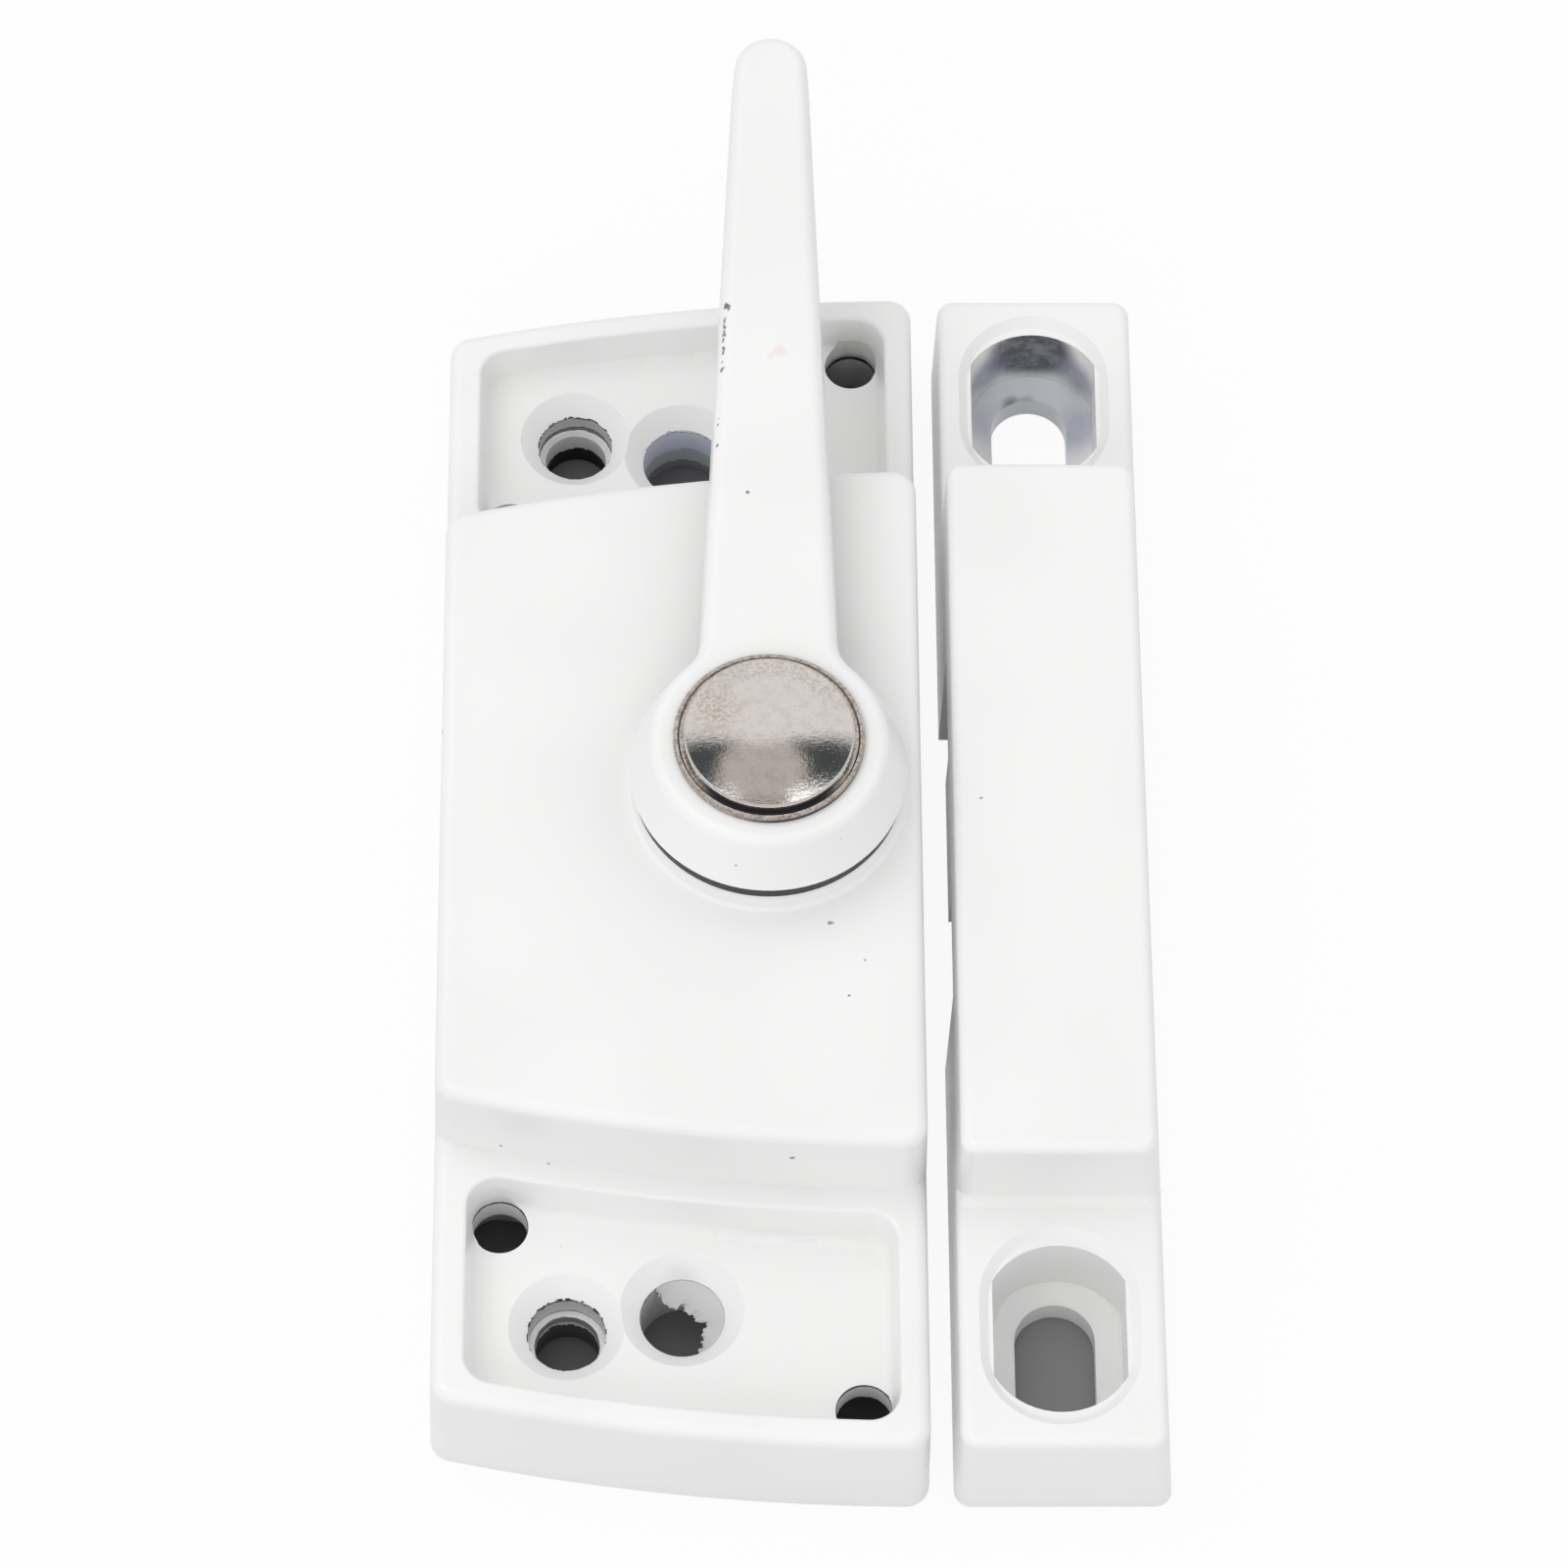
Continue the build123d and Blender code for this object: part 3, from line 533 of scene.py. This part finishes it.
# The torn edge: place from the hole's middle, then depth below the countersink's foot
TORN_EDGE = [
    (-1.95, 2.45, 0.4), (-1.8, 2.23, 0.8), (-1.55, 2.12, 1.0), (-1.5, 1.8, 1.1),
    (-1.2, 1.73, 1.2), (-1.0, 1.46, 1.3), (-0.68, 1.58, 1.3), (-0.5, 1.31, 1.35),
    (-0.2, 1.66, 1.3), (0.15, 1.61, 1.3), (0.1, 1.21, 1.35), (0.45, 0.96, 1.4),
    (0.75, 1.01, 1.4), (0.95, 0.56, 1.42), (1.3, 0.28, 1.37), (1.85, 0.19, 1.05),
    (1.75, -0.26, 1.05), (1.5, -0.46, 1.15), (1.38, -0.9, 1.1), (1.6, -1.3, 0.95),
    (1.35, -1.52, 1.0), (1.55, -1.95, 0.8), (1.15, -2.2, 0.75), (1.2, -2.78, 0.32),
]


def ragged_edge():
    """The torn edge with small random teeth between its points."""
    random = Random(4)
    edge = []
    for a, b in zip(TORN_EDGE, TORN_EDGE[1:]):
        for step in (0.0, 0.25, 0.5, 0.75):
            x, y, depth = (p + (q - p) * step for p, q in zip(a, b))
            wobble = 0.1 if step else 0.03
            edge.append((x + random.uniform(-wobble, wobble),
                         y + random.uniform(-wobble, wobble), depth))
    edge.append(TORN_EDGE[-1])
    return edge


def smoothed(edge, reach=7):
    """Each point becomes the mean of its neighbours."""
    points = []
    for index in range(len(edge)):
        near = edge[max(0, index - reach):index + reach + 1]
        points.append([sum(point[axis] for point in near) / len(near) for axis in range(3)])
    return points


def paint_skin():
    """A sheet from the hole's wall to the torn edge, whose teeth show at that edge only.

    Known fault: the sheet has no thickness. The faces have no normals yet when solidify runs,
    so its two layers lie in one place and the faces of the rim have no area.
    """
    rows, top_gap, crown, teeth_power, rim_tilt = 9, 0.06, 0.16, 5, 0.15
    edge = ragged_edge()
    calm_edge = smoothed(edge)
    start, stop = (math.atan2(point[1], point[0]) for point in (TORN_EDGE[0], TORN_EDGE[-1]))
    mesh = bpy.data.meshes.new("paint_skin")
    maker = bmesh.new()
    grid = []
    for index, (calm, torn) in enumerate(zip(calm_edge, edge)):
        angle = start + (stop - start) * index / (len(edge) - 1)
        at_wall = (SKIN_WALL * math.cos(angle), SKIN_WALL * math.sin(angle), top_gap)
        row = []
        for number in range(rows):
            share = number / (rows - 1)
            x, y, depth = (p + (q - p) * share + (r - q) * share ** teeth_power
                           for p, q, r in zip(at_wall, calm, torn))
            pull_in = min(1.0, SKIN_WALL / math.hypot(x, y))
            height = SKIN_FOOT - depth + crown * share * (1 - share)
            row.append(maker.verts.new(((SKIN_CENTRE[0] + x * pull_in) * MM,
                                        (SKIN_CENTRE[1] + y * pull_in) * MM, height * MM)))
        grid.append(row)
    for left, right in zip(grid, grid[1:]):
        for number in range(rows - 1):
            maker.faces.new((left[number], left[number + 1], right[number + 1], right[number]))
    bmesh.ops.solidify(maker, geom=maker.faces[:], thickness=SKIN_THICKNESS * MM)
    maker.normal_update()
    for face in maker.faces:
        # The steepest faces beside the tear are dark
        face.material_index = 0 if abs(face.normal.z) > rim_tilt else 1
    maker.to_mesh(mesh)
    maker.free()
    item = bpy.data.objects.new("paint_skin", mesh)
    bpy.context.scene.collection.objects.link(item)
    # The sheet's paint is made lighter than the coat's own colour: painted light
    mesh.materials.append(enamel("skin_enamel", color=PAINT_WITH_PAINTED_LIGHT))
    mesh.materials.append(plain_metal("torn_rim", DARK_ZINC, roughness=0.5))
    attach(item, "lock_body")


paint_skin()


# Studio
def camera():
    """The camera that the photograph was fitted with."""
    focal_px, frame_px = 7079.06, 1601.0
    elevation, azimuth, roll = (math.radians(angle) for angle in (60.35, 1.60, 1.41))
    object_seen_from_camera = Vector((-7.91, -9.68, 534.14))
    data = bpy.data.cameras.new("camera")
    data.sensor_fit = "HORIZONTAL"
    data.sensor_width = 36.0
    data.lens = focal_px / frame_px * data.sensor_width
    data.clip_start = 0.05
    data.clip_end = 20.0
    look = Vector((math.sin(azimuth) * math.cos(elevation),
                   math.cos(azimuth) * math.cos(elevation), -math.sin(elevation)))
    level = Vector((math.cos(azimuth), -math.sin(azimuth), 0.0))
    up = level.cross(look)
    right = math.cos(roll) * level + math.sin(roll) * up
    top = -math.sin(roll) * level + math.cos(roll) * up
    place = -(Matrix((right, top, look)).transposed() @ object_seen_from_camera) * MM
    turn = Matrix((right, top, -look)).transposed().to_4x4()
    item = bpy.data.objects.new("camera", data)
    item.matrix_world = Matrix.Translation(place) @ turn
    bpy.context.scene.collection.objects.link(item)
    bpy.context.scene.camera = item


def floor():
    """A pale floor that looks white and keeps the object's shadow."""
    half_size, depth, glow_share = 6.0, -0.0001, 0.93
    corners = [(-half_size, -half_size, depth), (half_size, -half_size, depth),
               (half_size, half_size, depth), (-half_size, half_size, depth)]
    mesh = bpy.data.meshes.new("floor")
    mesh.from_pydata(corners, [], [(0, 1, 2, 3)])
    item = bpy.data.objects.new("floor", mesh)
    bpy.context.scene.collection.objects.link(item)
    material, nodes, shader = new_material("floor_card", (0.88, 0.88, 0.88),
                                           metallic=0.0, roughness=0.9)
    shader.inputs["Specular IOR Level"].default_value = 0.0
    # Painted shade: a dark grey patch of floor below the screw holes, hidden beneath the two
    # castings, with no glow, so the holes look dark down to it.
    # The lock body's bowed ends reach further on its right, where the outer peg holes are.
    lock_half_width, lock_reach, right_side, more_reach = 16.0, 45.5, 6.0, 3.2
    keeper_x, keeper_half_width, slot_y, slot_half_length = 28.0, 5.0, -40.0, 9.0
    x, y, _ = nodes.split(nodes.where())
    reach = nodes.math("MULTIPLY_ADD", nodes.above(x, right_side), more_reach, lock_reach)
    lock = nodes.product(nodes.within(x, lock_half_width), nodes.within(y, reach))
    keeper = nodes.product(
        nodes.within(nodes.math("SUBTRACT", x, keeper_x), keeper_half_width),
        nodes.within(nodes.math("SUBTRACT", y, slot_y), slot_half_length))
    under = nodes.math("MAXIMUM", lock, keeper)
    painted_shade_grey = nodes.mix(keeper, (0.17, 0.17, 0.17), (0.27, 0.27, 0.27))
    path = nodes.add("ShaderNodeLightPath")
    card = nodes.mix(path.outputs["Is Camera Ray"], (0.64, 0.64, 0.64), (0.8, 0.8, 0.8))
    nodes.put(shader.inputs["Base Color"], nodes.mix(under, card, painted_shade_grey))
    seen = nodes.math("MAXIMUM", path.outputs["Is Camera Ray"], path.outputs["Is Glossy Ray"])
    glow = nodes.product(seen, nodes.math("SUBTRACT", 1.0, under), glow_share)
    blend = nodes.add("ShaderNodeMixShader")
    nodes.put(blend.inputs[0], glow)
    nodes.put(blend.inputs[1], shader.outputs[0])
    nodes.put(blend.inputs[2], nodes.add("ShaderNodeEmission").outputs[0])
    surface = material.node_tree.nodes["Material Output"].inputs["Surface"]
    nodes.put(surface, blend.outputs[0])
    mesh.materials.append(material)


def lamp(name, size, place, power):
    """A soft lamp turned to the object, which metal doesn't mirror."""
    data = bpy.data.lights.new(name, "AREA")
    data.shape = "RECTANGLE"
    data.size, data.size_y = size
    data.energy = power
    item = bpy.data.objects.new(name, data)
    item.location = place
    item.rotation_euler = (-Vector(place)).to_track_quat("-Z", "Y").to_euler()
    item.visible_glossy = False
    bpy.context.scene.collection.objects.link(item)


def mirrored_room(nodes):
    """What metal mirrors: a back wall, and overhead dark flags round a card and two lamp edges.

    A direction is given by its x, to the right, its y, to the back, and its z, up.
    """
    direction = nodes.add("ShaderNodeTexCoord").outputs["Generated"]
    x, y, z = nodes.split(direction)
    aside = nodes.math("ABSOLUTE", nodes.math("ADD", x, 0.02))
    card_y, card_half_width, card_half_length = 0.275, 0.215, 0.175
    across = nodes.product(aside, 1 / card_half_width)
    along = nodes.product(nodes.math("SUBTRACT", y, card_y), 1 / card_half_length)
    card = nodes.ramp(nodes.squares(across, along), 0.85, 1.15, 1.0, 0.0)
    room = nodes.mix(card, DARK_FLAG, BEIGE_CARD)
    lamp_line = nodes.math("MULTIPLY_ADD", aside, -0.4, y)
    lamp_edge = nodes.product(nodes.ramp(aside, 0.11, 0.15),
                              nodes.ramp(lamp_line, 0.078, 0.104, 1.0, 0.0))
    room = nodes.mix(lamp_edge, room, LAMP_GLARE)
    room = nodes.mix(nodes.ramp(y, -0.06, -0.02), PALE_CEILING, room)
    # The flags hang straight overhead only: further out the room is evenly pale
    room = nodes.mix(nodes.ramp(nodes.squares(x, y), 0.28, 0.38), room, PALE_CEILING)
    wall_line = nodes.math("MULTIPLY_ADD", aside, -0.12, y)
    room = nodes.mix(nodes.ramp(wall_line, 0.405, 0.43), room, BACK_WALL)
    return nodes.mix(nodes.ramp(z, 0.25, 0.6), HORIZON, room)


def studio():
    """An even white room with two soft lamps, in which metal finds something to mirror."""
    world = bpy.data.worlds.new("studio")
    bpy.context.scene.world = world
    world.use_nodes = True
    nodes = Nodes(world.node_tree)
    background = world.node_tree.nodes["Background"]
    path = nodes.add("ShaderNodeLightPath")
    plain = nodes.mix(path.outputs["Is Camera Ray"], ROOM_WHITE, (1.0, 1.0, 1.0))
    color = nodes.mix(path.outputs["Is Glossy Ray"], plain, mirrored_room(nodes))
    nodes.put(background.inputs["Color"], color)
    background.inputs["Strength"].default_value = 1.0
    lamp("soft_top", size=(1.2, 1.2), place=(-0.6, 0.3, 1.4), power=4.7)
    lamp("soft_front", size=(0.9, 0.7), place=(-0.25, -1.2, 0.85), power=3.4)


camera()
floor()
studio()
bpy.context.scene.view_settings.view_transform = "Standard"
